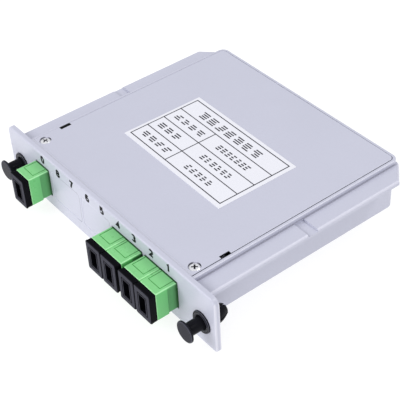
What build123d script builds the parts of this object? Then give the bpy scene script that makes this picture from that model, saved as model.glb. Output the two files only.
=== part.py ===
from build123d import *
import math
import os

os.makedirs("parts", exist_ok=True)

# Plug-in 1x4 optical splitter cassette.
# Frame: X along the front panel, Y to the rear, Z up. The origin is at the
# middle of the panel's width, on the panel's rear (seating) face, at the
# level of the underside.

# ---- driving dimensions, mm ----
PANEL_W = 130.0
PANEL_H = 24.2
PANEL_T = 2.1
PANEL_TOP_R = 3.0
PANEL_LOW_R = 0.9
PANEL_EDGE_R = 0.7

CASE_X = -0.4        # middle of the case; half widths count from here
LOW_HALF = 50.6      # lower box, half width
LOW_REAR = 97.4
LOW_CORNER_R = 2.6
UP_HALF = 51.45      # upper rim, half width
UP_REAR = 97.8
UP_CORNER_R = 3.2
BODY_TOP = 23.3
FLOOR_T = 1.8
IN_HALF = 49.1       # inside of the side walls
IN_REAR = 95.9

WING_HALF = 59.3     # guide flanges at the sides
WING_LOW = 19.6
WING_TOP = 21.4
WING_REAR = 97.2
WING_CHAMFER = 7.4
WING_EDGE_R = 1.2
NOTCH_Y = 47.3
NOTCH_W = 4.6
NOTCH_D = 0.9

COVER_T = 1.8
SEAT_Z = BODY_TOP - COVER_T
RECESS_HALF = 50.30  # recess that the cover lies in
RECESS_REAR = 96.6
COVER_HALF = 50.075
COVER_X = -0.575     # the cover lies against the left side of its recess
RIM_EDGE_R = 0.55
COVER_FRONT = 0.02
COVER_REAR = 96.42
COVER_CORNER_R = 2.0

SCREWS = {-1: (-47.27, 4.4), 1: (46.57, 4.3)}
SCREW_HEAD_R = 2.2
SCREW_POCKET_R = 2.35
SCREW_SHANK_R = 0.95
BOSS_R = 1.7
SNAP_Y = {-1: 15.35, 1: 15.65}
SNAP_L = {-1: 4.8, 1: 4.4}
SNAP_IN = 48.6       # inner edge of the slots

PORT_Z = 12.1        # height of every port axis
PORT_PITCH = 9.3
PORTS = {
    "in": -40.5,
    "4": 15.5 - PORT_PITCH / 2,
    "3": 15.5 + PORT_PITCH / 2,
    "2": 35.5 - PORT_PITCH / 2,
    "1": 35.5 + PORT_PITCH / 2,
}
BLANKS = {"7_8": -24.5, "5_6": -4.5}
WINDOW_H = 12.96
WINDOW_SINGLE = 9.5
WINDOW_PAIR = 18.8
BLANK_Z = 12.45      # middle height of the blanking plates
BLANK_H = 13.7       # their window
BLANK_GAP = 0.07     # round a blanking plate
BLANK_R = 1.3

AD_HALF_W = 4.6      # adapter head
AD_HALF_H = 6.35
AD_FRONT = -11.2
AD_NECK = -6.3
AD_NECK_HALF = 4.10
AD_EDGE_R = 0.7
AD_REAR = 17.3
AD_SINK = 0.8        # front of the body, this far into the window from behind
AD_WALL_0 = 1.9      # middle wall of the adapter
AD_WALL_1 = 4.1
AD_CAV_HALF_W = 3.75
AD_CAV_HALF_H = 4.65

SPRING_WIRE_R = 0.2

CAP_FRONT = -13.85
CAP_LIP = -13.15
CAP_BACK = -11.25
CAP_PLUG = -5.4
CAP_TRAVEL = 12.0    # pull-off travel, to the front

LATCHES = {"left": -57.05, "right": 57.75}
LATCH_Z = 9.75
LATCH_HOLE_R = 3.15
COLLAR_R = 4.5
COLLAR_T = 0.7
SHANK_R = 3.08
BARB_R = 3.58
GROMMET_BORE_R = 2.6
GROMMET_TIP_R = 1.7
KNOB_R = 4.28
KNOB_FRONT = -9.8
KNOB_T = 1.1
NECK_R = 2.52
PIN_R = 1.4
LATCH_TRAVEL = 5.8   # push-in travel, to the rear

LABEL_W = 59.4
LABEL_D = 36.7
LABEL_T = 0.12
LABEL_POS = (-0.37, 47.9)
LABEL_TURN = -1.0

FIBRE_R = 0.45
FIBRE_Z = FLOOR_T + 0.05 + 2.0   # axis of the splitter module on the floor
PLC_L = 50.0
PLC_W = 7.0
PLC_H = 4.0
PLC_Y = 25.0
SPOOL = (-20.0, 62.0)
SPOOL_R = 15.0

# ------------------------------------------------------------------ base shell
with BuildPart() as base_shell:
    # lower box
    with BuildSketch(Plane.XY) as low_plan:
        with Locations((CASE_X, (LOW_REAR - 1) / 2)):
            Rectangle(2 * LOW_HALF, LOW_REAR + 1)
        fillet(low_plan.vertices().group_by(Axis.Y)[-1], LOW_CORNER_R)
    extrude(amount=WING_TOP)
    low_face = base_shell.faces().sort_by(Axis.Z)[0]
    fillet(low_face.edges().sort_by(Axis.Y)[1:], 0.8)
    # guide flanges with cut rear corners
    with BuildSketch(Plane.XY.offset(WING_LOW)):
        Polygon(
            (CASE_X - WING_HALF, -1),
            (CASE_X - WING_HALF, WING_REAR - WING_CHAMFER),
            (CASE_X - WING_HALF + WING_CHAMFER, WING_REAR),
            (CASE_X + WING_HALF - WING_CHAMFER, WING_REAR),
            (CASE_X + WING_HALF, WING_REAR - WING_CHAMFER),
            (CASE_X + WING_HALF, -1),
            align=None,
        )
    extrude(amount=WING_TOP - WING_LOW)
    flange_top = (
        base_shell.edges()
        .filter_by_position(Axis.Z, WING_TOP - 0.01, WING_TOP + 0.01)
        .filter_by(lambda e: abs(e.center().X - CASE_X) > LOW_HALF + 1.0)
        .filter_by(lambda e: e.center().Y > 1.0)
    )
    fillet(flange_top, WING_EDGE_R)
    # upper rim
    with BuildSketch(Plane.XY.offset(WING_LOW)) as up_plan:
        with Locations((CASE_X, (UP_REAR - 1) / 2)):
            Rectangle(2 * UP_HALF, UP_REAR + 1)
        fillet(up_plan.vertices().group_by(Axis.Y)[-1], UP_CORNER_R)
    extrude(amount=BODY_TOP - WING_LOW)
    rim_top = base_shell.faces().sort_by(Axis.Z)[-1]
    fillet(rim_top.edges().sort_by(Axis.Y)[1:], RIM_EDGE_R)
    # front panel
    with BuildSketch(Plane.XZ) as panel_front:
        with Locations((0, PANEL_H / 2)):
            Rectangle(PANEL_W, PANEL_H)
        fillet(panel_front.vertices().group_by(Axis.Y)[-1], PANEL_TOP_R)
        fillet(panel_front.vertices().group_by(Axis.Y)[0], PANEL_LOW_R)
    extrude(amount=PANEL_T)
    fillet(base_shell.faces().sort_by(Axis.Y)[0].edges(), PANEL_EDGE_R)
    # inside of the case
    with BuildSketch(Plane.XY.offset(FLOOR_T)) as cavity:
        with Locations((CASE_X, IN_REAR / 2)):
            Rectangle(2 * IN_HALF, IN_REAR)
        fillet(cavity.vertices().group_by(Axis.Y)[-1], 1.5)
    extrude(amount=BODY_TOP - FLOOR_T, mode=Mode.SUBTRACT)
    # seat of the cover
    with BuildSketch(Plane.XY.offset(SEAT_Z)) as seat:
        with Locations((CASE_X, RECESS_REAR / 2)):
            Rectangle(2 * RECESS_HALF, RECESS_REAR)
        fillet(seat.vertices().group_by(Axis.Y)[-1], COVER_CORNER_R + 0.15)
    extrude(amount=COVER_T + 1, mode=Mode.SUBTRACT)
    # pockets for the cover's rear tongues
    with BuildSketch(Plane.XY.offset(SEAT_Z - 0.05)):
        with Locations((-25, RECESS_REAR), (25, RECESS_REAR)):
            Rectangle(8.4, 1.5)
    extrude(amount=1.0, mode=Mode.SUBTRACT)
    # pockets for the snap hooks in the side walls
    with BuildSketch(Plane.XY.offset(16.2)):
        for side in (-1, 1):
            with Locations((CASE_X + side * IN_HALF, SNAP_Y[side])):
                Rectangle(1.2, 4.2)
    extrude(amount=2.2, mode=Mode.SUBTRACT)
    # deep openings under the slots of the cover
    with BuildSketch(Plane.XY.offset(19.0)):
        for side in (-1, 1):
            with Locations((CASE_X + side * (IN_HALF + 0.1), SNAP_Y[side])):
                Rectangle(2.0, SNAP_L[side])
    extrude(amount=SEAT_Z - 19.0 + 0.5, mode=Mode.SUBTRACT)
    # windows for the adapters and the blanking plates
    with BuildSketch(Plane.XZ.offset(-0.2)) as windows:
        with Locations((PORTS["in"], PORT_Z)):
            Rectangle(WINDOW_SINGLE, WINDOW_H)
        with Locations((15.5, PORT_Z), (35.5, PORT_Z)):
            Rectangle(WINDOW_PAIR, WINDOW_H)
        fillet(windows.vertices(), 0.4)
    extrude(amount=PANEL_T + 0.4, mode=Mode.SUBTRACT)
    with BuildSketch(Plane.XZ.offset(-0.2)) as blank_windows:
        with Locations(*[(x, BLANK_Z) for x in BLANKS.values()]):
            Rectangle(WINDOW_PAIR, BLANK_H)
        fillet(blank_windows.vertices(), BLANK_R + BLANK_GAP)
    extrude(amount=PANEL_T + 0.4, mode=Mode.SUBTRACT)
    # latch holes
    with BuildSketch(Plane.XZ.offset(-0.5)):
        with Locations(*[(x, LATCH_Z) for x in LATCHES.values()]):
            Circle(LATCH_HOLE_R)
    extrude(amount=PANEL_T + 1, mode=Mode.SUBTRACT)
    # cross notches in the guide flanges
    with BuildSketch(Plane.XY.offset(WING_TOP - NOTCH_D)):
        for side in (-1, 1):
            with Locations((CASE_X + side * (UP_HALF + 5.0), NOTCH_Y)):
                Rectangle(10.0, NOTCH_W)
    extrude(amount=2.0, mode=Mode.SUBTRACT)
    # screw bosses, tied to the side walls
    with BuildSketch(Plane.XY.offset(1.0)):
        for side, (sx, sy) in SCREWS.items():
            with Locations((sx, sy)):
                Circle(BOSS_R)
            with Locations((sx + side * 1.2, sy)):
                Rectangle(2.4, 1.6)
    extrude(amount=SEAT_Z - 1.0)
    with BuildSketch(Plane.XY.offset(SEAT_Z)):
        with Locations(*SCREWS.values()):
            Circle(SCREW_SHANK_R + 0.05)
    extrude(amount=-13.0, mode=Mode.SUBTRACT)
    # upright ribs that hold the rear flanges of the adapters and plates
    with BuildSketch(Plane.XY.offset(1.0)):
        for x in list(PORTS.values()) + list(BLANKS.values()):
            with Locations((x, 2.3)):
                Rectangle(7.0, 1.2)
    extrude(amount=4.5)
    # fibre spool with three keeper tabs
    with BuildSketch(Plane.XY.offset(1.0)):
        with Locations(SPOOL):
            Circle(SPOOL_R)
            Circle(SPOOL_R - 1.3, mode=Mode.SUBTRACT)
    extrude(amount=13.5)
    with BuildSketch(Plane.XY.offset(13.5)):
        for turn in (75, 150, 225):
            with Locations(
                (
                    SPOOL[0] + (SPOOL_R + 2.2) * math.cos(math.radians(turn)),
                    SPOOL[1] + (SPOOL_R + 2.2) * math.sin(math.radians(turn)),
                )
            ):
                Rectangle(6.4, 4.0, rotation=turn)
    extrude(amount=1.0)
    # comb that spaces the four outgoing fibres
    with BuildSketch(Plane.XY.offset(1.0)):
        with Locations((25.5, 60.0)):
            Rectangle(36.0, 1.2)
    extrude(amount=8.0)
    with BuildSketch(Plane.XY.offset(4.2)):
        for name in ("4", "3", "2", "1"):
            with Locations((PORTS[name], 60.0)):
                Rectangle(1.5, 3.0)
    extrude(amount=6.0, mode=Mode.SUBTRACT)
    # posts at both sides of the splitter module
    with BuildSketch(Plane.XY.offset(1.0)):
        for x in (-15.0, 15.0):
            for y in (PLC_Y - PLC_W / 2 - 0.75, PLC_Y + PLC_W / 2 + 0.75):
                with Locations((x, y)):
                    Rectangle(6.0, 1.3)
    extrude(amount=5.6)
base_shell.part.label = "base_shell"
export_step(base_shell.part, "parts/base_shell.step")

# ----------------------------------------------------------------------- cover
with BuildPart() as cover:
    with BuildSketch(Plane.XY.offset(SEAT_Z)) as cover_plan:
        with Locations((COVER_X, (COVER_FRONT + COVER_REAR) / 2)):
            Rectangle(2 * COVER_HALF, COVER_REAR - COVER_FRONT)
        fillet(cover_plan.vertices().group_by(Axis.Y)[-1], COVER_CORNER_R)
        # slots over the snap hooks, open to the edge
        for side in (-1, 1):
            with Locations((CASE_X + side * (SNAP_IN + 1.5), SNAP_Y[side])):
                Rectangle(3.0, SNAP_L[side], mode=Mode.SUBTRACT)
    extrude(amount=COVER_T)
    fillet(
        cover.faces().sort_by(Axis.Z)[-1].edges().filter_by(Axis.Y).sort_by(
            SortBy.LENGTH
        )[-2:],
        0.2,
    )
    # tongues at the rear edge
    with BuildSketch(Plane.XY.offset(SEAT_Z)):
        with Locations((-25, COVER_REAR), (25, COVER_REAR)):
            Rectangle(8.0, 1.2)
    extrude(amount=0.85)
    # thinned skin round the slots
    with BuildSketch(Plane.XY.offset(SEAT_Z)):
        for side in (-1, 1):
            with Locations((CASE_X + side * 47.8, SNAP_Y[side])):
                Rectangle(6.0, 6.6)
    extrude(amount=COVER_T - 0.7, mode=Mode.SUBTRACT)
    # snap hooks
    for side in (-1, 1):
        with BuildSketch(Plane.XZ.offset(-(SNAP_Y[side] + 1.7))):
            with BuildLine():
                Polyline(
                    (CASE_X + side * 46.3, BODY_TOP - 0.5),
                    (CASE_X + side * 46.3, 16.6),
                    (CASE_X + side * 47.3, 16.6),
                    (CASE_X + side * 49.4, 17.5),
                    (CASE_X + side * 49.3, 18.1),
                    (CASE_X + side * 47.3, 18.1),
                    (CASE_X + side * 47.3, BODY_TOP - 0.5),
                    close=True,
                )
            make_face()
        extrude(amount=3.4)
    # screw holes with pockets for the heads
    with Locations(
        *[Plane.XY.offset(BODY_TOP) * Location((sx, sy, 0)) for sx, sy in SCREWS.values()]
    ):
        CounterBoreHole(
            radius=SCREW_SHANK_R + 0.15,
            counter_bore_radius=SCREW_POCKET_R,
            counter_bore_depth=1.2,
            depth=4.0,
        )
cover.part.label = "cover"
export_step(cover.part, "parts/cover.step")

# ------------------------------------------------------------- cover screws (2)
HEAD_Z = BODY_TOP - 1.2
with BuildPart() as cover_screws:
    for x0, y0 in SCREWS.values():
        with BuildSketch(Plane.XZ.offset(-y0)):
            with BuildLine():
                Polyline(
                    (x0, HEAD_Z + 1.12),
                    (x0 + 1.0, HEAD_Z + 1.06),
                    (x0 + 1.6, HEAD_Z + 0.93),
                    (x0 + 2.0, HEAD_Z + 0.72),
                    (x0 + SCREW_HEAD_R, HEAD_Z + 0.45),
                    (x0 + SCREW_HEAD_R, HEAD_Z + 0.01),
                    (x0 + SCREW_SHANK_R, HEAD_Z + 0.01),
                    (x0 + SCREW_SHANK_R, SEAT_Z - 9.0),
                    (x0 + 0.3, SEAT_Z - 11.0),
                    (x0, SEAT_Z - 11.0),
                    close=True,
                )
            make_face()
        revolve(axis=Axis((x0, y0, 0), (0, 0, 1)))
    # cross recesses
    with BuildSketch(Plane.XY.offset(HEAD_Z + 1.2)):
        with Locations(SCREWS[-1]):
            Rectangle(2.4, 0.65, rotation=20)
            Rectangle(0.65, 2.4, rotation=20)
        with Locations(SCREWS[1]):
            Rectangle(2.4, 0.65, rotation=52)
            Rectangle(0.65, 2.4, rotation=52)
    extrude(amount=-1.0, mode=Mode.SUBTRACT)
cover_screws.part.label = "cover_screws"
export_step(cover_screws.part, "parts/cover_screws.step")

# ----------------------------------------------------------------------- label
with BuildPart() as label_plate:
    with BuildSketch(Plane.XY.offset(BODY_TOP)) as label_plan:
        with Locations(LABEL_POS):
            Rectangle(LABEL_W, LABEL_D, rotation=LABEL_TURN)
    extrude(amount=LABEL_T)
label_plate.part.label = "label"
export_step(label_plate.part, "parts/label.step")

# ------------------------------------------- adapters, one set for each port
for port, px in PORTS.items():
    # adapter housing: head, recessed neck, rear flange and rear body
    with BuildPart() as adapter_housing:
        # body from inside the window to the rear
        with BuildSketch(Plane.XZ.offset(-AD_REAR)):
            with Locations((px, PORT_Z)):
                Rectangle(2 * AD_HALF_W, 2 * (AD_HALF_H - 0.05))
        extrude(amount=AD_REAR + AD_SINK)
        # neck in front of the body, recessed at the sides and below
        with BuildSketch(Plane.XZ.offset(AD_SINK - 0.2)):
            with Locations((px, PORT_Z + 0.25)):
                Rectangle(2 * AD_NECK_HALF, 2 * AD_HALF_H - 0.5)
        extrude(amount=-AD_NECK - AD_SINK + 0.4)
        # head
        with BuildSketch(Plane.XZ.offset(-AD_NECK)) as head:
            with Locations((px, PORT_Z)):
                Rectangle(2 * AD_HALF_W, 2 * AD_HALF_H)
            fillet(head.vertices(), AD_EDGE_R)
        extrude(amount=AD_NECK - AD_FRONT)
        fillet(adapter_housing.faces().sort_by(Axis.Y)[0].edges(), 0.45)
        # thin top of the neck, almost as wide as the head
        with BuildSketch(Plane.XZ.offset(PANEL_T + 0.25)) as neck_top:
            with Locations((px, PORT_Z + AD_HALF_H - 0.47)):
                Rectangle(2 * AD_HALF_W - 0.04, 0.9)
            fillet(neck_top.vertices().group_by(Axis.Y)[-1], AD_EDGE_R - 0.02)
        extrude(amount=-AD_NECK - PANEL_T + 0.35)
        # rear flange that lies against the back of the panel
        with BuildSketch(Plane.XZ.offset(-1.55)):
            with Locations((px, PORT_Z)):
                Rectangle(2 * 4.5, 2 * 7.3)
        extrude(amount=1.5)
        # plug cavities at both ends
        with BuildSketch(Plane.XZ.offset(-AD_WALL_0)):
            with Locations((px, PORT_Z)):
                Rectangle(2 * AD_CAV_HALF_W, 2 * AD_CAV_HALF_H)
        extrude(amount=AD_WALL_0 - AD_FRONT, mode=Mode.SUBTRACT)
        with BuildSketch(Plane.XZ.offset(-AD_REAR)):
            with Locations((px, PORT_Z)):
                Rectangle(2 * AD_CAV_HALF_W, 2 * AD_CAV_HALF_H)
        extrude(amount=AD_REAR - AD_WALL_1, mode=Mode.SUBTRACT)
        # keyways
        with BuildSketch(Plane.XZ.offset(-AD_FRONT)):
            with Locations((px, PORT_Z + AD_CAV_HALF_H + 0.3)):
                Rectangle(2.5, 1.0)
        extrude(amount=-8.0, mode=Mode.SUBTRACT)
        with BuildSketch(Plane.XZ.offset(-AD_REAR)):
            with Locations((px, PORT_Z + AD_CAV_HALF_H + 0.3)):
                Rectangle(2.5, 1.0)
        extrude(amount=8.0, mode=Mode.SUBTRACT)
        # opening in the middle wall for the sleeve carrier and its hooks
        with BuildSketch(Plane.XZ.offset(-AD_WALL_1 - 0.5)):
            with Locations((px, PORT_Z)):
                Circle(2.55)
                Rectangle(2.6, 7.5)
        extrude(amount=AD_WALL_1 - AD_WALL_0 + 1.0, mode=Mode.SUBTRACT)
        # groove that outlines the spring arm on the top
        with BuildSketch(Plane.XY.offset(PORT_Z + AD_HALF_H)):
            with Locations((px - 0.1, -4.45)):
                Rectangle(6.75, 8.0)
            with Locations((px - 0.1, -4.15)):
                Rectangle(6.15, 8.0, mode=Mode.SUBTRACT)
        extrude(amount=-0.32, mode=Mode.SUBTRACT)
        # low step where the top goes through the panel
        with BuildSketch(Plane.XY.offset(PORT_Z + AD_HALF_H - 0.3)):
            with Locations((px, -1.3)):
                Rectangle(2 * AD_HALF_W + 1, 2.6)
        extrude(amount=1.0, mode=Mode.SUBTRACT)
    adapter_housing.part.label = "adapter_housing_" + port
    export_step(adapter_housing.part, "parts/adapter_housing_" + port + ".step")

    # sleeve carrier: a plate behind the middle wall, a tube and plug hooks
    with BuildPart() as sleeve_carrier:
        with BuildSketch(Plane.XZ.offset(-AD_WALL_1 - 1.25)):
            with Locations((px, PORT_Z)):
                Rectangle(2 * 3.65, 2 * 4.5)
        extrude(amount=1.2)
        with BuildSketch(Plane.XZ.offset(-9.2)):
            with Locations((px, PORT_Z)):
                Circle(2.45)
        extrude(amount=9.2 + 3.2)
        with BuildSketch(Plane.XZ.offset(-12.0)):
            with Locations((px, PORT_Z + 3.3), (px, PORT_Z - 3.3)):
                Rectangle(2.3, 0.6)
        extrude(amount=12.0 + 4.4)
        with BuildSketch(Plane.XZ.offset(-9.2)):
            with Locations((px, PORT_Z)):
                Circle(1.66)
        extrude(amount=9.2 + 2.75, mode=Mode.SUBTRACT)
        with BuildSketch(Plane.XZ.offset(0)):
            with Locations((px, PORT_Z)):
                Circle(1.35)
        extrude(amount=5.0, mode=Mode.SUBTRACT)
    sleeve_carrier.part.label = "sleeve_carrier_" + port
    export_step(sleeve_carrier.part, "parts/sleeve_carrier_" + port + ".step")

    # split ceramic sleeve
    with BuildPart() as alignment_sleeve:
        with BuildSketch(Plane.XZ.offset(-8.7)):
            with Locations((px, PORT_Z)):
                Circle(1.6)
                Circle(1.28, mode=Mode.SUBTRACT)
            with Locations((px, PORT_Z + 1.45)):
                Rectangle(0.5, 0.9, mode=Mode.SUBTRACT)
        extrude(amount=11.4)
    alignment_sleeve.part.label = "alignment_sleeve_" + port
    export_step(alignment_sleeve.part, "parts/alignment_sleeve_" + port + ".step")

    # dust cap: front lip, band and hollow plug
    with BuildPart() as dust_cap:
        with BuildSketch(Plane.XZ.offset(-CAP_BACK)) as band:
            with Locations((px, PORT_Z)):
                Rectangle(2 * 4.5, 2 * 6.2)
            fillet(band.vertices(), 0.3)
        extrude(amount=CAP_BACK - CAP_LIP)
        with BuildSketch(Plane.XZ.offset(-CAP_LIP)) as lip:
            with Locations((px, PORT_Z)):
                Rectangle(2 * 4.52, 2 * 6.75)
            fillet(lip.vertices(), 0.9)
        extrude(amount=CAP_LIP - CAP_FRONT)
        fillet(dust_cap.faces().sort_by(Axis.Y)[0].edges(), 0.45)
        with BuildSketch(Plane.XZ.offset(-CAP_PLUG)) as plug:
            with Locations((px, PORT_Z)):
                Rectangle(2 * 3.62, 2 * 4.5)
            fillet(plug.vertices(), 0.4)
        extrude(amount=CAP_PLUG - CAP_BACK)
        # deep pull recess with a stepped mouth
        with BuildSketch(Plane.XZ.offset(-CAP_PLUG + 1.0)):
            with Locations((px, PORT_Z)):
                Rectangle(3.7, 7.7)
        extrude(amount=CAP_PLUG - 1.0 - CAP_FRONT, mode=Mode.SUBTRACT)
        with BuildSketch(Plane.XZ.offset(-CAP_FRONT - 0.35)):
            with Locations((px, PORT_Z)):
                Rectangle(5.3, 9.3)
                Rectangle(4.5, 8.5, mode=Mode.SUBTRACT)
        extrude(amount=0.4, mode=Mode.SUBTRACT)
    dust_cap.part.label = "dust_cap_" + port
    export_step(dust_cap.part, "parts/dust_cap_" + port + ".step")

    # connector in the rear cavity, held inside the case
    with BuildPart() as connector_housing:
        with BuildSketch(Plane.XZ.offset(-28.0)) as grip:
            with Locations((px, PORT_Z)):
                Rectangle(2 * 4.45, 2 * 4.5)
            fillet(grip.vertices(), 0.6)
        extrude(amount=28.0 - 17.6)
        with BuildSketch(Plane.XZ.offset(-18.0)):
            with Locations((px, PORT_Z)):
                Rectangle(2 * 3.65, 2 * 4.5)
        extrude(amount=18.0 - 6.0)
        with BuildSketch(Plane.XZ.offset(-12.9)):
            with Locations((px, PORT_Z)):
                Rectangle(2 * 3.0, 2 * 3.9)
        extrude(amount=12.9 - 6.0, mode=Mode.SUBTRACT)
        # chamber for the ferrule's flange and its spring
        with BuildSketch(Plane.XZ.offset(-21.1)):
            with Locations((px, PORT_Z)):
                Circle(2.1)
        extrude(amount=8.5, mode=Mode.SUBTRACT)
        with BuildSketch(Plane.XZ.offset(-28.0)):
            with Locations((px, PORT_Z)):
                Circle(0.7)
        extrude(amount=14.0, mode=Mode.SUBTRACT)
        # finger ribs at the sides
        with BuildSketch(Plane.XY.offset(PORT_Z)):
            for y in (19.6, 21.4, 23.2, 25.0):
                with Locations((px - 4.5, y), (px + 4.5, y)):
                    Rectangle(0.5, 0.8)
        extrude(amount=3.6, both=True, mode=Mode.SUBTRACT)
    connector_housing.part.label = "connector_housing_" + port
    export_step(connector_housing.part, "parts/connector_housing_" + port + ".step")

    with BuildPart() as ferrule:
        with BuildSketch(Plane.XZ.offset(-15.4)):
            with Locations((px, PORT_Z)):
                Circle(2.0)
                Circle(0.55, mode=Mode.SUBTRACT)
        extrude(amount=2.3)
        with BuildSketch(Plane.XZ.offset(-13.2)):
            with Locations((px, PORT_Z)):
                Circle(1.245)
        extrude(amount=13.2 - 3.1)
        chamfer(ferrule.faces().sort_by(Axis.Y)[0].edges(), 0.25)
    ferrule.part.label = "ferrule_" + port
    export_step(ferrule.part, "parts/ferrule_" + port + ".step")

    # coil spring that presses the ferrule forward
    with BuildPart() as ferrule_spring:
        with BuildLine() as coil:
            turns = Helix(
                pitch=1.3,
                height=5.07,
                radius=1.6,
                center=(px, 15.66, PORT_Z),
                direction=(0, 1, 0),
            )
        with BuildSketch(Plane(origin=turns @ 0, z_dir=turns % 0)):
            Circle(SPRING_WIRE_R)
        sweep(path=coil.wires()[0], is_frenet=True)
    ferrule_spring.part.label = "ferrule_spring_" + port
    export_step(ferrule_spring.part, "parts/ferrule_spring_" + port + ".step")

    with BuildPart() as connector_boot:
        with BuildSketch(Plane.XZ.offset(-28.1)):
            with Locations((px, PORT_Z)):
                Circle(2.7)
        with BuildSketch(Plane.XZ.offset(-40.0)):
            with Locations((px, PORT_Z)):
                Circle(1.3)
        loft()
        with BuildSketch(Plane.XZ.offset(-41.0)):
            with Locations((px, PORT_Z)):
                Circle(0.65)
        extrude(amount=14.0, mode=Mode.SUBTRACT)
    connector_boot.part.label = "connector_boot_" + port
    export_step(connector_boot.part, "parts/connector_boot_" + port + ".step")

# ------------------------------------------------------------- blanking plates
for place, bx in BLANKS.items():
    with BuildPart() as blank_plate:
        with BuildSketch(Plane.XZ.offset(-0.1)) as face_plan:
            with Locations((bx, BLANK_Z)):
                Rectangle(WINDOW_PAIR - 2 * BLANK_GAP, BLANK_H - 2 * BLANK_GAP)
            fillet(face_plan.vertices(), BLANK_R)
        extrude(amount=PANEL_T + 0.02)
        chamfer(blank_plate.faces().sort_by(Axis.Y)[0].edges(), 0.1)
        with BuildSketch(Plane.XZ.offset(-1.55)):
            with Locations((bx, BLANK_Z)):
                Rectangle(19.6, BLANK_H + 1.2)
        extrude(amount=1.5)
    blank_plate.part.label = "blank_plate_" + place
    export_step(blank_plate.part, "parts/blank_plate_" + place + ".step")

# --------------------------------------------------------- panel latches (2x2)
for side_name, lx in LATCHES.items():
    latch_axis = Axis((lx, 0, LATCH_Z), (0, 1, 0))
    with BuildPart() as latch_grommet:
        with BuildSketch(Plane.XY.offset(LATCH_Z)):
            with BuildLine():
                Polyline(
                    (lx + GROMMET_BORE_R, -1.6),
                    (lx + 2.69, -PANEL_T),
                    (lx + 2.88, -2.5),
                    (lx + 3.0, -2.68),
                    (lx + 3.15, -PANEL_T - COLLAR_T),
                    (lx + COLLAR_R - 0.25, -PANEL_T - COLLAR_T),
                    (lx + COLLAR_R, -PANEL_T - COLLAR_T + 0.25),
                    (lx + COLLAR_R, -PANEL_T - 0.01),
                    (lx + SHANK_R, -PANEL_T - 0.01),
                    (lx + SHANK_R, 0.05),
                    (lx + BARB_R, 0.9),
                    (lx + BARB_R, 3.7),
                    (lx + 3.4, 4.6),
                    (lx + 3.0, 5.7),
                    (lx + 2.45, 6.8),
                    (lx + 2.05, 7.5),
                    (lx + GROMMET_TIP_R, 7.75),
                    (lx + GROMMET_TIP_R, 4.0),
                    (lx + GROMMET_BORE_R, 4.0),
                    close=True,
                )
            make_face()
        revolve(axis=latch_axis)
        # slits that part the four spring legs
        with BuildSketch(Plane.XZ.offset(-9.0)):
            with Locations((lx, LATCH_Z)):
                Rectangle(8.4, 0.7)
                Rectangle(0.7, 8.4)
        extrude(amount=8.6, mode=Mode.SUBTRACT)
    latch_grommet.part.label = "latch_grommet_" + side_name
    export_step(latch_grommet.part, "parts/latch_grommet_" + side_name + ".step")

    # push-pull pin: knob, waisted neck and locking pin
    with BuildPart() as latch_plunger:
        with BuildSketch(Plane.XY.offset(LATCH_Z)):
            with BuildLine():
                Polyline(
                    (lx, KNOB_FRONT),
                    (lx + KNOB_R - 0.45, KNOB_FRONT),
                    (lx + KNOB_R - 0.1, KNOB_FRONT + 0.2),
                    (lx + KNOB_R, KNOB_FRONT + 0.5),
                    (lx + KNOB_R - 0.05, KNOB_FRONT + 0.85),
                    (lx + KNOB_R - 0.4, KNOB_FRONT + KNOB_T),
                    (lx + 3.0, KNOB_FRONT + KNOB_T + 0.02),
                    (lx + 2.75, KNOB_FRONT + KNOB_T + 0.26),
                    (lx + 2.6, KNOB_FRONT + KNOB_T + 0.6),
                    (lx + NECK_R, KNOB_FRONT + KNOB_T + 1.1),
                    (lx + NECK_R, -2.2),
                    (lx + PIN_R, -1.9),
                    (lx + PIN_R, 1.6),
                    (lx + 1.0, 2.1),
                    (lx, 2.1),
                    close=True,
                )
            make_face()
        revolve(axis=latch_axis)
    latch_plunger.part.label = "latch_plunger_" + side_name
    export_step(latch_plunger.part, "parts/latch_plunger_" + side_name + ".step")

# ------------------------------------------------------------- splitter module
with BuildPart() as plc_case:
    with BuildSketch(Plane.YZ.offset(-PLC_L / 2)) as tube:
        with Locations((PLC_Y, FIBRE_Z)):
            Rectangle(PLC_W, PLC_H)
            Rectangle(PLC_W - 0.8, PLC_H - 0.8, mode=Mode.SUBTRACT)
    extrude(amount=PLC_L)
plc_case.part.label = "plc_case"
export_step(plc_case.part, "parts/plc_case.step")

OUT_OFFSETS = {"1": -1.8, "2": -0.6, "3": 0.6, "4": 1.8}
with BuildPart() as plc_plug_in:
    with BuildSketch(Plane.YZ.offset(PLC_L / 2 - 4.0)):
        with Locations((PLC_Y, FIBRE_Z)):
            Rectangle(PLC_W - 0.86, PLC_H - 0.86)
            Circle(FIBRE_R + 0.05, mode=Mode.SUBTRACT)
    extrude(amount=4.0)
plc_plug_in.part.label = "plc_plug_in"
export_step(plc_plug_in.part, "parts/plc_plug_in.step")

with BuildPart() as plc_plug_out:
    with BuildSketch(Plane.YZ.offset(-PLC_L / 2)):
        with Locations((PLC_Y, FIBRE_Z)):
            Rectangle(PLC_W - 0.86, PLC_H - 0.86)
        with Locations(*[(PLC_Y + o, FIBRE_Z) for o in OUT_OFFSETS.values()]):
            Circle(FIBRE_R + 0.05, mode=Mode.SUBTRACT)
    extrude(amount=4.0)
plc_plug_out.part.label = "plc_plug_out"
export_step(plc_plug_out.part, "parts/plc_plug_out.step")

with BuildPart() as plc_chip:
    with BuildSketch(Plane.YZ.offset(-9.0)):
        with Locations((PLC_Y, FIBRE_Z)):
            Rectangle(4.4, 2.4)
    extrude(amount=18.0)
plc_chip.part.label = "plc_chip"
export_step(plc_chip.part, "parts/plc_chip.step")

# --------------------------------------------------------------------- fibres
START_Y = 15.45      # just behind the ferrule's flange
PLC_END = PLC_L / 2 - 3.5


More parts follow.
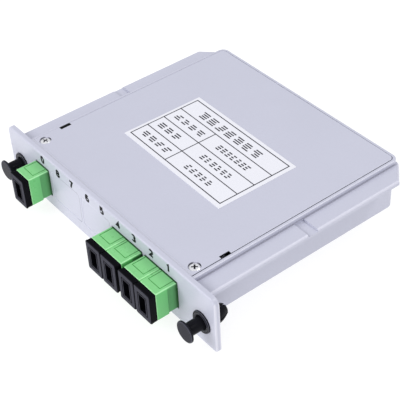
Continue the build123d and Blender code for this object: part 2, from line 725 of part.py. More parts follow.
def fibre_route(name):
    """Corner points and bend radii of one 0.9 mm fibre."""
    if name == "in":
        points = [
            (PORTS["in"], START_Y, PORT_Z),
            (PORTS["in"], 84.0, PORT_Z),
            (46.0, 84.0, PORT_Z),
            (46.0, 61.5, PORT_Z),
            (46.0, 50.0, FIBRE_Z),
            (46.0, PLC_Y, FIBRE_Z),
            (PLC_END, PLC_Y, FIBRE_Z),
        ]
        radii = [20.0, 18.0, 13.0, 13.0, 19.0]
    else:
        o = OUT_OFFSETS[name]
        left = -44.4 + o
        rear = 90.5 - o
        x = PORTS[name]
        points = [
            (-PLC_END, PLC_Y + o, FIBRE_Z),
            (left, PLC_Y + o, FIBRE_Z),
            (left, rear, FIBRE_Z),
            (x, rear, FIBRE_Z),
            (x, 64.0, FIBRE_Z),
            (x, 48.0, PORT_Z),
            (x, START_Y, PORT_Z),
        ]
        radii = [18.0 - o, 22.0 - o, 18.0, 24.0, 24.0]
    return points, radii


for port in PORTS:
    points, radii = fibre_route(port)
    with BuildPart() as fibre:
        with BuildLine() as route:
            FilletPolyline(*points, radius=radii)
        start = Vector(*points[1]) - Vector(*points[0])
        with BuildSketch(Plane(origin=points[0], z_dir=start)):
            Circle(FIBRE_R)
        sweep(path=route.wires()[0])
    swept = route.wires()[0].length * math.pi * FIBRE_R**2
    print("fibre", port, "radii", radii, "volume", round(fibre.part.volume, 2), "of", round(swept, 2))
    fibre.part.label = "fibre_" + port
    export_step(fibre.part, "parts/fibre_" + port + ".step")
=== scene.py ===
import bpy, bmesh, math, random
from mathutils import Matrix, Vector


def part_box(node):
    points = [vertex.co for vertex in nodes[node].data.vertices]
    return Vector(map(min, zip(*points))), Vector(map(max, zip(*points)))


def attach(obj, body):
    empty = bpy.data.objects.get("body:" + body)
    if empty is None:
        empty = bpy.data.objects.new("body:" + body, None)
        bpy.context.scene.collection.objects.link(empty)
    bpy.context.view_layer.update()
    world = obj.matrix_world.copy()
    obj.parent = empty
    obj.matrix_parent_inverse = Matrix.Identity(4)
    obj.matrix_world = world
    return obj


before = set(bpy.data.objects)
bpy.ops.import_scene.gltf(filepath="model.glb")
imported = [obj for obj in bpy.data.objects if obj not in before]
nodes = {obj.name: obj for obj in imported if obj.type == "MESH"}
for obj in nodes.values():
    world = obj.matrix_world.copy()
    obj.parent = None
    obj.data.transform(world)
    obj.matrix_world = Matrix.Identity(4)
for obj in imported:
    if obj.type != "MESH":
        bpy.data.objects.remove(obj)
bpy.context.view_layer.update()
scene = bpy.context.scene
PORTS = ["in", "1", "2", "3", "4"]


# ------------------------------------------------------------------ camera
def link(ob):
    scene.collection.objects.link(ob)
    return ob


cam_data = bpy.data.cameras.new("camera")
cam = link(bpy.data.objects.new("camera", cam_data))
right = Vector((0.6190446, 0.7839852, -0.0463795))
up = Vector((-0.4917318, 0.4329702, 0.7554712))
back = Vector((0.6123591, -0.4448641, 0.6535383))
cam.matrix_world = Matrix((
    (right.x, up.x, back.x, 0.2660525),
    (right.y, up.y, back.y, -0.1527189),
    (right.z, up.z, back.z, 0.2798917),
    (0, 0, 0, 1),
))
cam_data.sensor_width = 36.0
cam_data.lens = 1106.887 / 400 * 36.0
cam_data.shift_x = 0.00721
cam_data.shift_y = 0.03237
cam_data.clip_start = 0.01
cam_data.clip_end = 20.0
scene.camera = cam
scene.view_settings.view_transform = "Standard"
scene.view_settings.look = "None"

# ------------------------------------------------------------------ light
world = bpy.data.worlds.new("studio")
scene.world = world
world.use_nodes = True
world.node_tree.nodes["Background"].inputs["Color"].default_value = (0.97, 0.98, 1.0, 1)
world.node_tree.nodes["Background"].inputs["Strength"].default_value = 0.63


def area(name, place, target, size, power, color=(1, 1, 1)):
    data = bpy.data.lights.new(name, "AREA")
    data.shape = "RECTANGLE"
    data.size, data.size_y = size
    data.energy = power
    data.color = color
    ob = link(bpy.data.objects.new(name, data))
    ob.location = place
    ob.rotation_euler = (Vector(target) - Vector(place)).to_track_quat("-Z", "Y").to_euler()
    return ob


area("key", (-0.40, -1.04, 0.80), (0, 0.03, 0.0), (0.80, 0.60), 9.2)
area("side", (0.80, -0.62, 0.34), (0.03, 0.0, 0.0), (0.6, 0.5), 1.35)
area("rim", (0.42, 0.56, 0.98), (0.02, 0.04, 0.01), (0.9, 0.12), 3.8)

# ------------------------------------------------------------------ materials


class Nodes:
    """Short helper for building a node material."""

    def __init__(self, name):
        self.mat = bpy.data.materials.new(name)
        self.mat.use_nodes = True
        self.tree = self.mat.node_tree
        self.bsdf = self.tree.nodes["Principled BSDF"]
        self.coord = self.tree.nodes.new("ShaderNodeTexCoord").outputs["Object"]

    def add(self, kind, **values):
        node = self.tree.nodes.new(kind)
        for key, value in values.items():
            if hasattr(node, key):
                setattr(node, key, value)
            else:
                node.inputs[key.replace("_", " ")].default_value = value
        return node

    def join(self, a, b):
        self.tree.links.new(a, b)

    def noise(self, scale, detail=2.0, rough=0.5, vector=None):
        node = self.add("ShaderNodeTexNoise", Scale=scale, Detail=detail, Roughness=rough)
        self.join(vector or self.coord, node.inputs["Vector"])
        return node.outputs["Fac"]

    def spread(self, value, low, high, a=0.3, b=0.7):
        node = self.add("ShaderNodeMapRange")
        node.inputs["From Min"].default_value = a
        node.inputs["From Max"].default_value = b
        node.inputs["To Min"].default_value = low
        node.inputs["To Max"].default_value = high
        self.join(value, node.inputs["Value"])
        return node.outputs["Result"]

    def mix(self, fac, one, two):
        node = self.tree.nodes.new("ShaderNodeMix")
        node.data_type = "RGBA"
        if hasattr(fac, "links"):
            self.join(fac, node.inputs["Factor"])
        else:
            node.inputs["Factor"].default_value = fac
        for value, slot in ((one, node.inputs[6]), (two, node.inputs[7])):
            if hasattr(value, "links"):
                self.join(value, slot)
            else:
                slot.default_value = (*value, 1.0)
        return node.outputs[2]

    def math(self, op, a, b=None):
        node = self.tree.nodes.new("ShaderNodeMath")
        node.operation = op
        for value, slot in ((a, node.inputs[0]), (b, node.inputs[1])):
            if value is None:
                continue
            if hasattr(value, "links"):
                self.join(value, slot)
            else:
                slot.default_value = value
        return node.outputs[0]

    def bump(self, height, strength, distance, under=None):
        node = self.tree.nodes.new("ShaderNodeBump")
        node.inputs["Strength"].default_value = strength
        node.inputs["Distance"].default_value = distance
        self.join(height, node.inputs["Height"])
        if under is not None:
            self.join(under, node.inputs["Normal"])
        return node.outputs["Normal"]


def moulded(name, rgb, rough, grain, depth, tint=0.03, spec=0.5, strength=0.5, sheen=None):
    """Moulded plastic: fine spark-eroded grain, slow flow tint and gloss change."""
    n = Nodes(name)
    dark = tuple(c * (1 - tint) for c in rgb)
    light = tuple(min(1, c * (1 + tint)) for c in rgb)
    slow = n.noise(22.0, 3.0, 0.55)
    color = n.mix(n.spread(slow, 0.0, 1.0, 0.35, 0.65), dark, light)
    speck = n.noise(grain * 0.6, 1.0)
    color = n.mix(n.spread(speck, 0.0, 0.10, 0.45, 0.75), color, tuple(c * 0.86 for c in rgb))
    n.join(color, n.bsdf.inputs["Base Color"])
    gloss = n.noise(140.0, 4.0, 0.6)
    n.join(n.spread(gloss, rough - 0.05, rough + 0.06), n.bsdf.inputs["Roughness"])
    fine = n.noise(grain, 3.0, 0.6)
    wide = n.noise(60.0, 2.0)
    normal = n.bump(wide, 0.12, 0.0004)
    n.join(n.bump(fine, strength, depth, normal), n.bsdf.inputs["Normal"])
    n.bsdf.inputs["Specular IOR Level"].default_value = spec
    return n


abs_n = moulded("abs_lavender_grey", (0.548, 0.554, 0.656), 0.34, 2600.0, 0.00003, tint=0.012, spec=0.45)
green_n = moulded("adapter_green", (0.182, 0.575, 0.200), 0.30, 1800.0, 0.00002, tint=0.03, spec=0.5)
cap_n = moulded("cap_black", (0.003, 0.003, 0.005), 0.42, 2200.0, 0.00003, tint=0.05, spec=0.04)
latch_n = moulded("latch_black", (0.008, 0.008, 0.011), 0.26, 1500.0, 0.00002, tint=0.05, spec=0.07)


def painted_edge_highlights(n, rgb, low_y, high_y, low_z=-1.0):
    """Painted highlights: the rounded edges are painted paler than the flat faces."""
    base = n.bsdf.inputs["Base Color"].links[0].from_socket
    normal = n.tree.nodes.new("ShaderNodeTexCoord").outputs["Normal"]
    split = n.tree.nodes.new("ShaderNodeSeparateXYZ")
    n.join(normal, split.inputs[0])
    x, y, z = (n.math("ABSOLUTE", split.outputs[k]) for k in ("X", "Y", "Z"))
    widest = n.math("MAXIMUM", n.math("MAXIMUM", x, y), z)
    mask = all_of(n, n.spread(widest, 1.0, 0.0, 0.82, 0.985), band(n, "Y", low_y, high_y), band(n, "Z", low_z, 1.0))
    n.join(n.mix(mask, base, rgb), n.bsdf.inputs["Base Color"])


def painted_front_light(n, rgb):
    """Painted light: the faces that look to the front are painted paler, with a fine mottle, in place of the light
    they catch from the front.
    """
    normal = n.tree.nodes.new("ShaderNodeTexCoord").outputs["Normal"]
    split = n.tree.nodes.new("ShaderNodeSeparateXYZ")
    n.join(normal, split.inputs[0])
    front = n.spread(split.outputs["Y"], 1.0, 0.0, -0.98, -0.75)
    base = n.bsdf.inputs["Base Color"].links[0].from_socket
    mottle = n.noise(900.0, 3.0, 0.6)
    pale = n.mix(n.spread(mottle, 0, 1), tuple(c * 0.8 for c in rgb), rgb)
    n.join(n.mix(front, base, pale), n.bsdf.inputs["Base Color"])


def band(n, axis, low, high, soft=0.00006):
    """1 where the object coordinate lies between low and high, else 0."""
    split = n.tree.nodes.new("ShaderNodeSeparateXYZ")
    n.join(n.coord, split.inputs[0])
    value = split.outputs[axis]
    return n.math("MULTIPLY", n.spread(value, 0.0, 1.0, low - soft, low), n.spread(value, 1.0, 0.0, high, high + soft))


def all_of(n, *masks):
    out = masks[0]
    for mask in masks[1:]:
        out = n.math("MULTIPLY", out, mask)
    return out


SCREWS = ((-0.04727, 0.0044), (0.04657, 0.0043))


def painted_joint_shade(n):
    """Painted shade: the narrow joint round the cover, the snap slots, the foot of the rim and the gaps round the
    screw heads are painted dark inside; the strip behind the panel is painted paler to lift its shadow.
    """
    base = n.bsdf.inputs["Base Color"].links[0].from_socket
    # painted shade inside the narrow joint round the cover
    level = band(n, "Z", 0.0212, 0.02306)
    inner = all_of(n, band(n, "X", -0.05055, 0.04935), band(n, "Y", -0.01, 0.0951))
    outside = n.math("SUBTRACT", 1.0, inner)
    joint = all_of(n, level, outside, band(n, "X", -0.040, 0.04995), band(n, "Y", 0.001, 0.0950))
    color = n.mix(joint, base, (0.16, 0.16, 0.20))
    # painted shade inside the two snap slots
    deep = band(n, "Z", 0.0165, 0.02312)
    for x0, x1, y0, y1, rgb in (
        (0.0478, 0.04995, 0.0133, 0.0180, (0.016, 0.016, 0.022)),
        (-0.05075, -0.0486, 0.0128, 0.0179, (0.040, 0.042, 0.040)),
    ):
        slot = all_of(n, deep, band(n, "X", x0, x1), band(n, "Y", y0, y1))
        color = n.mix(slot, color, rgb)
    # painted light: the strip of the cover right behind the panel is painted paler to lift the shadow of the panel's
    # top edge
    strip = all_of(n, band(n, "Y", 0.0, 0.0010, 0.0005), band(n, "Z", 0.02320, 0.02340))
    color = n.mix(strip, color, (0.665, 0.670, 0.770))
    # shade at the foot of the rim, on both sides
    foot = all_of(n, band(n, "Z", 0.02145, 0.02185, 0.0003), band(n, "Y", 0.0005, 0.0970), n.math("SUBTRACT", 1.0, band(n, "X", -0.0517, 0.0509)))
    foot = n.math("MULTIPLY", foot, band(n, "X", -0.0522, 0.0514))
    color = n.mix(foot, color, (0.40, 0.40, 0.48))
    # painted shade in the gap round the screw heads
    for sx, sy in SCREWS:
        split = n.tree.nodes.new("ShaderNodeSeparateXYZ")
        n.join(n.coord, split.inputs[0])
        dx = n.math("SUBTRACT", split.outputs["X"], sx)
        dy = n.math("SUBTRACT", split.outputs["Y"], sy)
        away = n.math("SQRT", n.math("ADD", n.math("MULTIPLY", dx, dx), n.math("MULTIPLY", dy, dy)))
        pocket = all_of(n, n.spread(away, 1.0, 0.0, 0.00238, 0.00243), band(n, "Z", 0.0215, 0.02312))
        color = n.mix(pocket, color, (0.14, 0.14, 0.17))
    n.join(color, n.bsdf.inputs["Base Color"])


painted_joint_shade(abs_n)


def painted_plate_joint_shade(n, cx, cz, hx, hz, r, start, stop, rgb):
    """Painted shade: a dark joint line round a blanking plate, widest towards its upper right corner."""
    base = n.bsdf.inputs["Base Color"].links[0].from_socket
    split = n.tree.nodes.new("ShaderNodeSeparateXYZ")
    n.join(n.coord, split.inputs[0])
    dx = n.math("SUBTRACT", split.outputs["X"], cx)
    dz = n.math("SUBTRACT", split.outputs["Z"], cz)
    ax = n.math("MAXIMUM", n.math("SUBTRACT", n.math("ABSOLUTE", dx), hx - r), 0.0)
    az = n.math("MAXIMUM", n.math("SUBTRACT", n.math("ABSOLUTE", dz), hz - r), 0.0)
    reach = n.math("SQRT", n.math("ADD", n.math("MULTIPLY", ax, ax), n.math("MULTIPLY", az, az)))
    line = n.spread(n.math("ABSOLUTE", n.math("SUBTRACT", reach, r)), 1.0, 0.0, 0.00009, 0.00018)
    corner = n.spread(n.math("ADD", dx, dz), 0.0, 1.0, start, stop)
    depth = band(n, "Y", -0.0025, -0.0008)
    mask = all_of(n, line, corner, depth)
    # painted light: the rest of the joint is painted paler so that its shade hardly shows
    painted_joint_light = all_of(n, line, n.math("SUBTRACT", 1.0, n.spread(n.math("ADD", dx, dz), 0.0, 1.0, start - 0.0050, start)), depth)
    base = n.mix(painted_joint_light, base, (0.720, 0.725, 0.830))
    n.join(n.mix(mask, base, rgb), n.bsdf.inputs["Base Color"])


# painted shade along the joints of the two blanking plates
painted_plate_joint_shade(abs_n, -0.0245, 0.01245, 0.0094, 0.00685, 0.00137, 0.0015, 0.0060, (0.17, 0.17, 0.21))
painted_plate_joint_shade(abs_n, -0.0045, 0.01245, 0.0094, 0.00685, 0.00137, 0.0105, 0.0135, (0.20, 0.20, 0.24))


def painted_green_light_and_shade(n):
    """Painted light and shade: the tops are painted paler and the sides darker; the recessed neck next to the panel is
    painted a darker green as its shade.
    """
    base = n.bsdf.inputs["Base Color"].links[0].from_socket
    normal = n.tree.nodes.new("ShaderNodeTexCoord").outputs["Normal"]
    split = n.tree.nodes.new("ShaderNodeSeparateXYZ")
    n.join(normal, split.inputs[0])
    # painted light: the sides are painted darker and the tops paler
    side = n.spread(n.math("ABSOLUTE", split.outputs["X"]), 0.0, 1.0, 0.7, 0.9)
    top = n.spread(split.outputs["Z"], 0.0, 1.0, 0.5, 0.9)
    base = n.mix(n.math("MULTIPLY", side, 0.75), base, (0.140, 0.560, 0.168))
    base = n.mix(n.math("MULTIPLY", top, 0.75), base, (0.226, 0.612, 0.240))
    # painted shade on the recessed neck, darkest at its root by the panel
    neck = n.math("MULTIPLY", side, band(n, "Y", -0.00632, 0.0))
    color = n.mix(neck, base, (0.098, 0.385, 0.120))
    root = n.math("MULTIPLY", side, band(n, "Y", -0.0030, 0.0, 0.0010))
    color = n.mix(root, color, (0.075, 0.29, 0.090))
    # painted shade in the groove where the neck goes into the panel
    groove = band(n, "Y", -0.00262, 0.0, 0.0001)
    n.join(n.mix(groove, color, (0.045, 0.17, 0.055)), n.bsdf.inputs["Base Color"])


painted_green_light_and_shade(green_n)
# painted highlights on the rounded edges of the rim and wing
painted_edge_highlights(abs_n, (0.670, 0.670, 0.770), 0.0008, 0.0985, 0.0198)


def painted_panel_end_highlights(n, rgb):
    """Painted highlights: the upright edges at both ends of the panel are painted paler than the faces."""
    base = n.bsdf.inputs["Base Color"].links[0].from_socket
    ends = n.math("SUBTRACT", 1.0, band(n, "X", -0.06448, 0.06448))
    front = all_of(n, ends, band(n, "Y", -0.00195, -0.00145, 0.0002))
    rear = all_of(n, ends, band(n, "Y", -0.00035, 0.0002))
    color = n.mix(front, base, rgb)
    n.join(n.mix(rear, color, rgb), n.bsdf.inputs["Base Color"])


painted_panel_end_highlights(abs_n, (0.690, 0.690, 0.780))
# painted highlights on the rounded edges of the adapter heads
painted_edge_highlights(green_n, (0.380, 0.830, 0.390), -0.0125, -0.0022)


# painted light on the front faces of the dust caps and latches
painted_front_light(cap_n, (0.043, 0.043, 0.060))
painted_front_light(latch_n, (0.011, 0.011, 0.021))


def painted_rim_highlights(n, rgb):
    """Painted highlights: the rounded rims that look to the front are painted a little paler."""
    base = n.bsdf.inputs["Base Color"].links[0].from_socket
    normal = n.tree.nodes.new("ShaderNodeTexCoord").outputs["Normal"]
    split = n.tree.nodes.new("ShaderNodeSeparateXYZ")
    n.join(normal, split.inputs[0])
    look = split.outputs["Y"]
    rim = n.math("MULTIPLY", n.spread(look, 0.0, 1.0, -0.96, -0.86), n.spread(look, 1.0, 0.0, -0.50, -0.28))
    rim = n.math("MULTIPLY", rim, band(n, "Y", -0.0300, -0.0021))
    n.join(n.mix(rim, base, rgb), n.bsdf.inputs["Base Color"])




def painted_collar_ring_light(n):
    """Painted light: the ring inside each latch collar is painted paler as a highlight, and the outer part of the
    collar is painted darker.
    """
    base = n.bsdf.inputs["Base Color"].links[0].from_socket
    split = n.tree.nodes.new("ShaderNodeSeparateXYZ")
    n.join(n.coord, split.inputs[0])
    dz = n.math("SUBTRACT", split.outputs["Z"], 0.00975)
    near = None
    for x in (-0.05705, 0.05775):
        dx = n.math("SUBTRACT", split.outputs["X"], x)
        away = n.math("SQRT", n.math("ADD", n.math("MULTIPLY", dx, dx), n.math("MULTIPLY", dz, dz)))
        near = away if near is None else n.math("MINIMUM", near, away)
    outer = all_of(n, n.spread(near, 0.0, 1.0, 0.00380, 0.00395), band(n, "Y", -0.0031, -0.0020))
    color = n.mix(outer, base, (0.001, 0.001, 0.002))
    ring = all_of(n, n.spread(near, 0.0, 1.0, 0.00325, 0.00335), n.spread(near, 1.0, 0.0, 0.00375, 0.00385), band(n, "Y", -0.0031, -0.0020))
    n.join(n.mix(ring, color, (0.052, 0.052, 0.066)), n.bsdf.inputs["Base Color"])


painted_collar_ring_light(latch_n)
painted_rim_highlights(latch_n, (0.066, 0.066, 0.088))
carrier_n = moulded("carrier_natural", (0.70, 0.68, 0.60), 0.40, 1500.0, 0.00002)
conn_n = moulded("connector_green", (0.06, 0.40, 0.14), 0.33, 1600.0, 0.00002)
boot_n = moulded("boot_green", (0.06, 0.36, 0.14), 0.60, 900.0, 0.00004)
potting_n = moulded("potting_black", (0.03, 0.03, 0.03), 0.30, 500.0, 0.00005)
jackets = {
    "in": moulded("jacket_white", (0.84, 0.84, 0.80), 0.35, 3000.0, 0.00001),
    "1": moulded("jacket_blue", (0.04, 0.20, 0.62), 0.35, 3000.0, 0.00001),
    "2": moulded("jacket_orange", (0.85, 0.30, 0.04), 0.35, 3000.0, 0.00001),
    "3": moulded("jacket_green", (0.06, 0.46, 0.14), 0.35, 3000.0, 0.00001),
    "4": moulded("jacket_brown", (0.25, 0.12, 0.05), 0.35, 3000.0, 0.00001),
}


def ceramic_material():
    n = Nodes("ceramic")
    tone = n.noise(400.0, 3.0)
    n.join(n.mix(n.spread(tone, 0, 1), (0.86, 0.85, 0.80), (0.92, 0.91, 0.88)), n.bsdf.inputs["Base Color"])
    n.join(n.spread(n.noise(2500.0, 2.0), 0.10, 0.20), n.bsdf.inputs["Roughness"])
    n.join(n.bump(n.noise(6000.0, 2.0), 0.2, 0.000005), n.bsdf.inputs["Normal"])
    return n


def metal_material(name, rgb, rough, turned=None):
    """Zinc plated or drawn steel with fine scratches."""
    n = Nodes(name)
    n.bsdf.inputs["Metallic"].default_value = 1.0
    tone = n.noise(900.0, 4.0, 0.65)
    n.join(n.mix(n.spread(tone, 0, 1), tuple(c * 0.82 for c in rgb), rgb), n.bsdf.inputs["Base Color"])
    stretch = n.add("ShaderNodeMapping")
    stretch.inputs["Scale"].default_value = (300.0, 9000.0, 9000.0)
    n.join(n.coord, stretch.inputs["Vector"])
    lines = n.noise(1.0, 3.0, 0.6, stretch.outputs["Vector"])
    n.join(n.spread(lines, rough - 0.06, rough + 0.10), n.bsdf.inputs["Roughness"])
    n.join(n.bump(lines, 0.25, 0.00001), n.bsdf.inputs["Normal"])
    return n


ceramic_n = ceramic_material()
screw_n = metal_material("zinc_screw", (0.93, 0.93, 0.96), 0.30)


def painted_screw_recess_shade(n):
    """Bright plated head; the cross recess is painted dark inside as painted shade."""
    n.bsdf.inputs["Metallic"].default_value = 0.45
    base = n.bsdf.inputs["Base Color"].links[0].from_socket
    for (sx, sy), rgb in zip(SCREWS, ((0.21, 0.21, 0.24), (0.060, 0.060, 0.072))):
        split = n.tree.nodes.new("ShaderNodeSeparateXYZ")
        n.join(n.coord, split.inputs[0])
        dx = n.math("SUBTRACT", split.outputs["X"], sx)
        dy = n.math("SUBTRACT", split.outputs["Y"], sy)
        away = n.math("SQRT", n.math("ADD", n.math("MULTIPLY", dx, dx), n.math("MULTIPLY", dy, dy)))
        recess = all_of(n, n.spread(away, 1.0, 0.0, 0.00118, 0.00128), band(n, "Z", 0.0220, 0.02298, 0.00004))
        base = n.mix(recess, base, rgb)
    n.join(base, n.bsdf.inputs["Base Color"])


painted_screw_recess_shade(screw_n)
module_n = metal_material("module_steel", (0.70, 0.70, 0.72), 0.30)


def paper_material():
    """Coated sticker paper: faint fibre mottle and a slight waviness."""
    n = Nodes("label_paper")
    fibre = n.noise(1400.0, 4.0, 0.7)
    cloud = n.noise(70.0, 2.0)
    color = n.mix(n.spread(fibre, 0, 1), (0.785, 0.785, 0.845), (0.825, 0.825, 0.88))
    color = n.mix(n.spread(cloud, 0.0, 0.25), color, (0.78, 0.785, 0.85))
    n.join(color, n.bsdf.inputs["Base Color"])
    n.join(n.spread(cloud, 0.40, 0.52), n.bsdf.inputs["Roughness"])
    low = n.bump(n.noise(35.0, 2.0), 0.25, 0.0006)
    n.join(n.bump(fibre, 0.25, 0.000012, low), n.bsdf.inputs["Normal"])
    return n


def ink_material(name, rgb, thin):
    """Printed ink that lets a little of the ground through."""
    n = Nodes(name)
    wear = n.noise(2600.0, 3.0, 0.7)
    n.join(n.mix(n.spread(wear, 0, 1, 0.35, 0.8), rgb, thin), n.bsdf.inputs["Base Color"])
    n.join(n.spread(wear, 0.40, 0.55), n.bsdf.inputs["Roughness"])
    n.join(n.bump(wear, 0.2, 0.00001), n.bsdf.inputs["Normal"])
    n.bsdf.inputs["Specular IOR Level"].default_value = 0.10
    return n


paper_n = paper_material()
ink_n = ink_material("mark_ink", (0.004, 0.004, 0.006), (0.012, 0.012, 0.016))
print_n = ink_material("label_ink", (0.022, 0.022, 0.026), (0.08, 0.08, 0.10))
grey_n = ink_material("label_marks", (0.022, 0.022, 0.026), (0.09, 0.09, 0.11))


def wear_glass():
    n = Nodes("chip_glass")
    n.join(n.mix(n.spread(n.noise(300.0, 2.0), 0, 1), (0.70, 0.80, 0.86), (0.80, 0.88, 0.92)), n.bsdf.inputs["Base Color"])
    n.bsdf.inputs["Transmission Weight"].default_value = 0.6
    n.join(n.spread(n.noise(900.0, 2.0), 0.05, 0.14), n.bsdf.inputs["Roughness"])
    n.join(n.bump(n.noise(1800.0, 2.0), 0.15, 0.00001), n.bsdf.inputs["Normal"])
    return n


glass_n = wear_glass()


def paint(name, n):
    ob = nodes[name]
    ob.data.materials.clear()
    ob.data.materials.append(n.mat)


for name in ("base_shell", "cover", "blank_plate_7_8", "blank_plate_5_6"):
    paint(name, abs_n)
paint("cover_screws", screw_n)
paint("label", paper_n)
for p in PORTS:
    paint("adapter_housing_" + p, green_n)
    paint("sleeve_carrier_" + p, carrier_n)
    paint("alignment_sleeve_" + p, ceramic_n)
    paint("dust_cap_" + p, cap_n)
    paint("connector_housing_" + p, conn_n)
    paint("ferrule_" + p, ceramic_n)
    paint("connector_boot_" + p, boot_n)
    paint("ferrule_spring_" + p, module_n)
    paint("fibre_" + p, jackets[p])
for s in ("left", "right"):
    paint("latch_grommet_" + s, latch_n)
    paint("latch_plunger_" + s, latch_n)
paint("plc_case", module_n)
paint("plc_plug_in", potting_n)
paint("plc_plug_out", potting_n)
paint("plc_chip", glass_n)

# ------------------------------------------------------------------ marks


def finish_piece(ob, n, body):
    ob.data.materials.clear()
    ob.data.materials.append(n.mat)
    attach(ob, body)
    return ob


def arc(cx, cy, rx, ry, start, stop, steps=20):
    """Points on part of an ellipse, angles in degrees."""
    out = []
    for k in range(steps + 1):
        a = math.radians(start + (stop - start) * k / steps)
        out.append((cx + rx * math.cos(a), cy + ry * math.sin(a)))
    return out


# digits drawn as strokes, in a cell 1.8 mm wide and 3.0 mm high, centred on 0
STROKES = {
    "0": [(arc(0, 0, 0.66, 1.24, 0, 360, 40), True)],
    "1": [([(-0.45, 0.72), (0.12, 1.22), (0.12, -1.47)], False)],
    "2": [(arc(0, 0.58, 0.64, 0.66, 165, -25, 20) + [(0.34, -0.10), (-0.22, -0.72), (-0.64, -1.23), (0.86, -1.23)], False)],
    "3": [(arc(-0.05, 0.62, 0.62, 0.62, 155, -70, 22) + [(-0.14, 0.06)], False),
          ([(-0.14, 0.06)] + arc(-0.05, -0.58, 0.70, 0.66, 80, -155, 24), False)],
    "4": [([(0.30, -1.47), (0.30, 1.22), (-0.78, -0.55), (0.88, -0.55)], False)],
    "5": [([(0.72, 1.23), (-0.48, 1.23), (-0.60, 0.05), (-0.30, 0.28)] + arc(0.0, -0.44, 0.68, 0.80, 100, -150, 26), False)],
    "6": [(arc(0.10, 0.30, 0.74, 0.94, 50, 180, 18) + [(-0.66, -0.42)], False),
          (arc(0, -0.48, 0.66, 0.76, 0, 360, 36), True)],
    "7": [([(-0.78, 1.23), (0.72, 1.23), (0.20, 0.20), (-0.12, -0.70), (-0.20, -1.47)], False)],
    "8": [(arc(0, 0.64, 0.56, 0.60, 0, 360, 32), True), (arc(0, -0.60, 0.66, 0.64, 0, 360, 36), True)],
}


def ribbon(bm, points, half, closed, z0, z1):
    """A flat stroke of even width with mitred corners, in mm."""
    pts = [Vector((x, y)) for x, y in points]
    if closed:
        pts = pts[:-1]
    count = len(pts)
    rings = []
    for k, here in enumerate(pts):
        before = pts[(k - 1) % count] if closed or k > 0 else None
        after = pts[(k + 1) % count] if closed or k < count - 1 else None
        one = (here - before).normalized() if before is not None else (after - here).normalized()
        two = (after - here).normalized() if after is not None else one
        mean = (one + two).normalized()
        side = Vector((-mean.y, mean.x))
        reach = half / max(0.5, side.dot(Vector((-one.y, one.x))))
        left, right_ = here + side * reach, here - side * reach
        rings.append([bm.verts.new((q.x, q.y, z)) for q, z in ((left, z0), (right_, z0), (right_, z1), (left, z1))])
    spans = count if closed else count - 1
    for k in range(spans):
        a, b = rings[k], rings[(k + 1) % count]
        for m in range(4):
            bm.faces.new((a[m], a[(m + 1) % 4], b[(m + 1) % 4], b[m]))
    if not closed:
        bm.faces.new(rings[0])
        bm.faces.new(rings[-1][::-1])


def digit_mesh(name, digit, half, thick):
    bm = bmesh.new()
    for points, closed in STROKES[digit]:
        ribbon(bm, points, half, closed, 0.0, thick)
    bmesh.ops.recalc_face_normals(bm, faces=bm.faces)
    bmesh.ops.scale(bm, verts=bm.verts, vec=(0.00120, 0.00108, 0.001))
    mesh = bpy.data.meshes.new(name)
    bm.to_mesh(mesh)
    bm.free()
    return mesh


PANEL_Y = -0.0021
FACE = Matrix.Rotation(math.radians(90), 4, "X")
marks = {
    "0": (-39.6, 21.5), "8": (-28.9, 21.1), "7": (-19.6, 21.6), "6": (-9.0, 21.65), "5": (0.4, 21.75),
    "4": (10.7, 21.85), "3": (20.2, 21.85), "2": (30.4, 21.9), "1": (40.1, 21.85),
}
for digit, (x, z) in marks.items():
    mesh = digit_mesh("mark_" + digit, digit, 0.43, 0.014)
    mesh.transform(Matrix.Translation((x / 1000, PANEL_Y + 0.000002, z / 1000)) @ FACE)
    finish_piece(link(bpy.data.objects.new("mark_" + digit, mesh)), ink_n, "cassette")


def strips_mesh(name, strips, place, turn, z0, z1):
    """Thin printed strips, each (u0, v0, u1, v1) in mm, in one mesh on the label."""
    bm = bmesh.new()
    for u0, v0, u1, v1 in strips:
        made = bmesh.ops.create_cube(bm, size=1.0)["verts"]
        bmesh.ops.scale(bm, verts=made, vec=((u1 - u0) / 1000, (v1 - v0) / 1000, z1 - z0))
        bmesh.ops.translate(bm, verts=made, vec=((u0 + u1) / 2000, (v0 + v1) / 2000, (z0 + z1) / 2))
    bm.transform(Matrix.Translation((place[0] / 1000, place[1] / 1000, 0)) @ Matrix.Rotation(math.radians(turn), 4, "Z"))
    mesh = bpy.data.meshes.new(name)
    bm.to_mesh(mesh)
    bm.free()
    return link(bpy.data.objects.new(name, mesh))


label_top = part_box("label")[1].z
HW, HD, LW = 28.0, 16.35, 0.22
rows = (7.95, -0.45, -8.35)
lines = [
    (-HW - LW, HD - LW, HW + LW, HD + LW),
    (-HW - LW, -HD - LW, HW + LW, -HD + LW),
    (-HW - LW, -HD, -HW + LW, HD),
    (HW - LW, -HD, HW + LW, HD),
    (-5.5 - LW * 0.95, -HD, -5.5 + LW * 0.95, rows[0]),
] + [(-HW, r - LW * 0.95, HW, r + LW * 0.95) for r in rows]
finish_piece(
    strips_mesh("label_ruling", lines, (-0.66, 48.05), -1.0, label_top + 0.000001, label_top + 0.000012),
    print_n, "cassette",
)

# plain dashes where the print was, three to five short bars for each place
rng = random.Random(7)


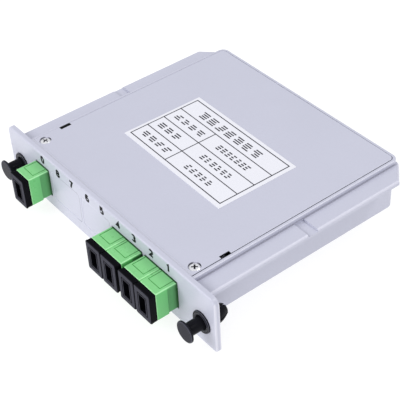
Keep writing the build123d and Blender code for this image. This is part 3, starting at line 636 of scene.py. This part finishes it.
def dashes(u0, v_mid, count, pitch, width, height, bars):
    out = []
    for k in range(count):
        left = u0 + k * pitch
        step = height / bars
        for b in range(bars):
            low = v_mid - height / 2 + b * step
            cut = rng.uniform(0.0, 0.35) * width
            first = rng.random() < 0.5
            out.append((left + (cut if first else 0), low + step * 0.18, left + width - (0 if first else cut), low + step * 0.72))
    return out


V = [(rows[0] + HD) / 2, (rows[0] + rows[1]) / 2, (rows[1] + rows[2]) / 2, (rows[2] - HD) / 2]
marks_on_label = (
    dashes(-19.6, V[0] - 0.2, 7, 5.3, 4.0, 4.3, 4)
    + dashes(-25.2, V[1], 4, 4.6, 3.3, 3.3, 3)
    + dashes(-25.2, V[2], 3, 4.7, 3.4, 3.4, 3)
    + dashes(-25.2, V[3], 4, 4.6, 3.3, 3.3, 3)
    + dashes(1.2, V[1], 7, 2.75, 2.0, 3.3, 3)
    + dashes(1.8, V[2], 6, 3.0, 2.1, 3.3, 3)
    + dashes(2.6, V[3], 5, 3.2, 2.2, 3.2, 3)
)
finish_piece(
    strips_mesh("label_dashes", marks_on_label, (-0.66, 48.05), -1.0, label_top + 0.000001, label_top + 0.000010),
    grey_n, "cassette",
)

# ------------------------------------------------------------------ floor
bm = bmesh.new()
bmesh.ops.create_grid(bm, x_segments=8, y_segments=8, size=3.0)
mesh = bpy.data.meshes.new("floor")
bm.to_mesh(mesh)
bm.free()
floor = link(bpy.data.objects.new("floor", mesh))
floor.location = (0, 0, -0.0001)
floor_n = Nodes("floor_pale")
floor_n.join(floor_n.mix(floor_n.spread(floor_n.noise(6.0, 2.0), 0, 1), (0.27, 0.27, 0.27), (0.29, 0.29, 0.29)), floor_n.bsdf.inputs["Base Color"])
floor_n.bsdf.inputs["Roughness"].default_value = 0.9
floor_n.bsdf.inputs["Specular IOR Level"].default_value = 0.1
floor_n.bsdf.inputs["Emission Color"].default_value = (1, 1, 1, 1)
floor_n.bsdf.inputs["Emission Strength"].default_value = 0.80
floor.data.materials.append(floor_n.mat)
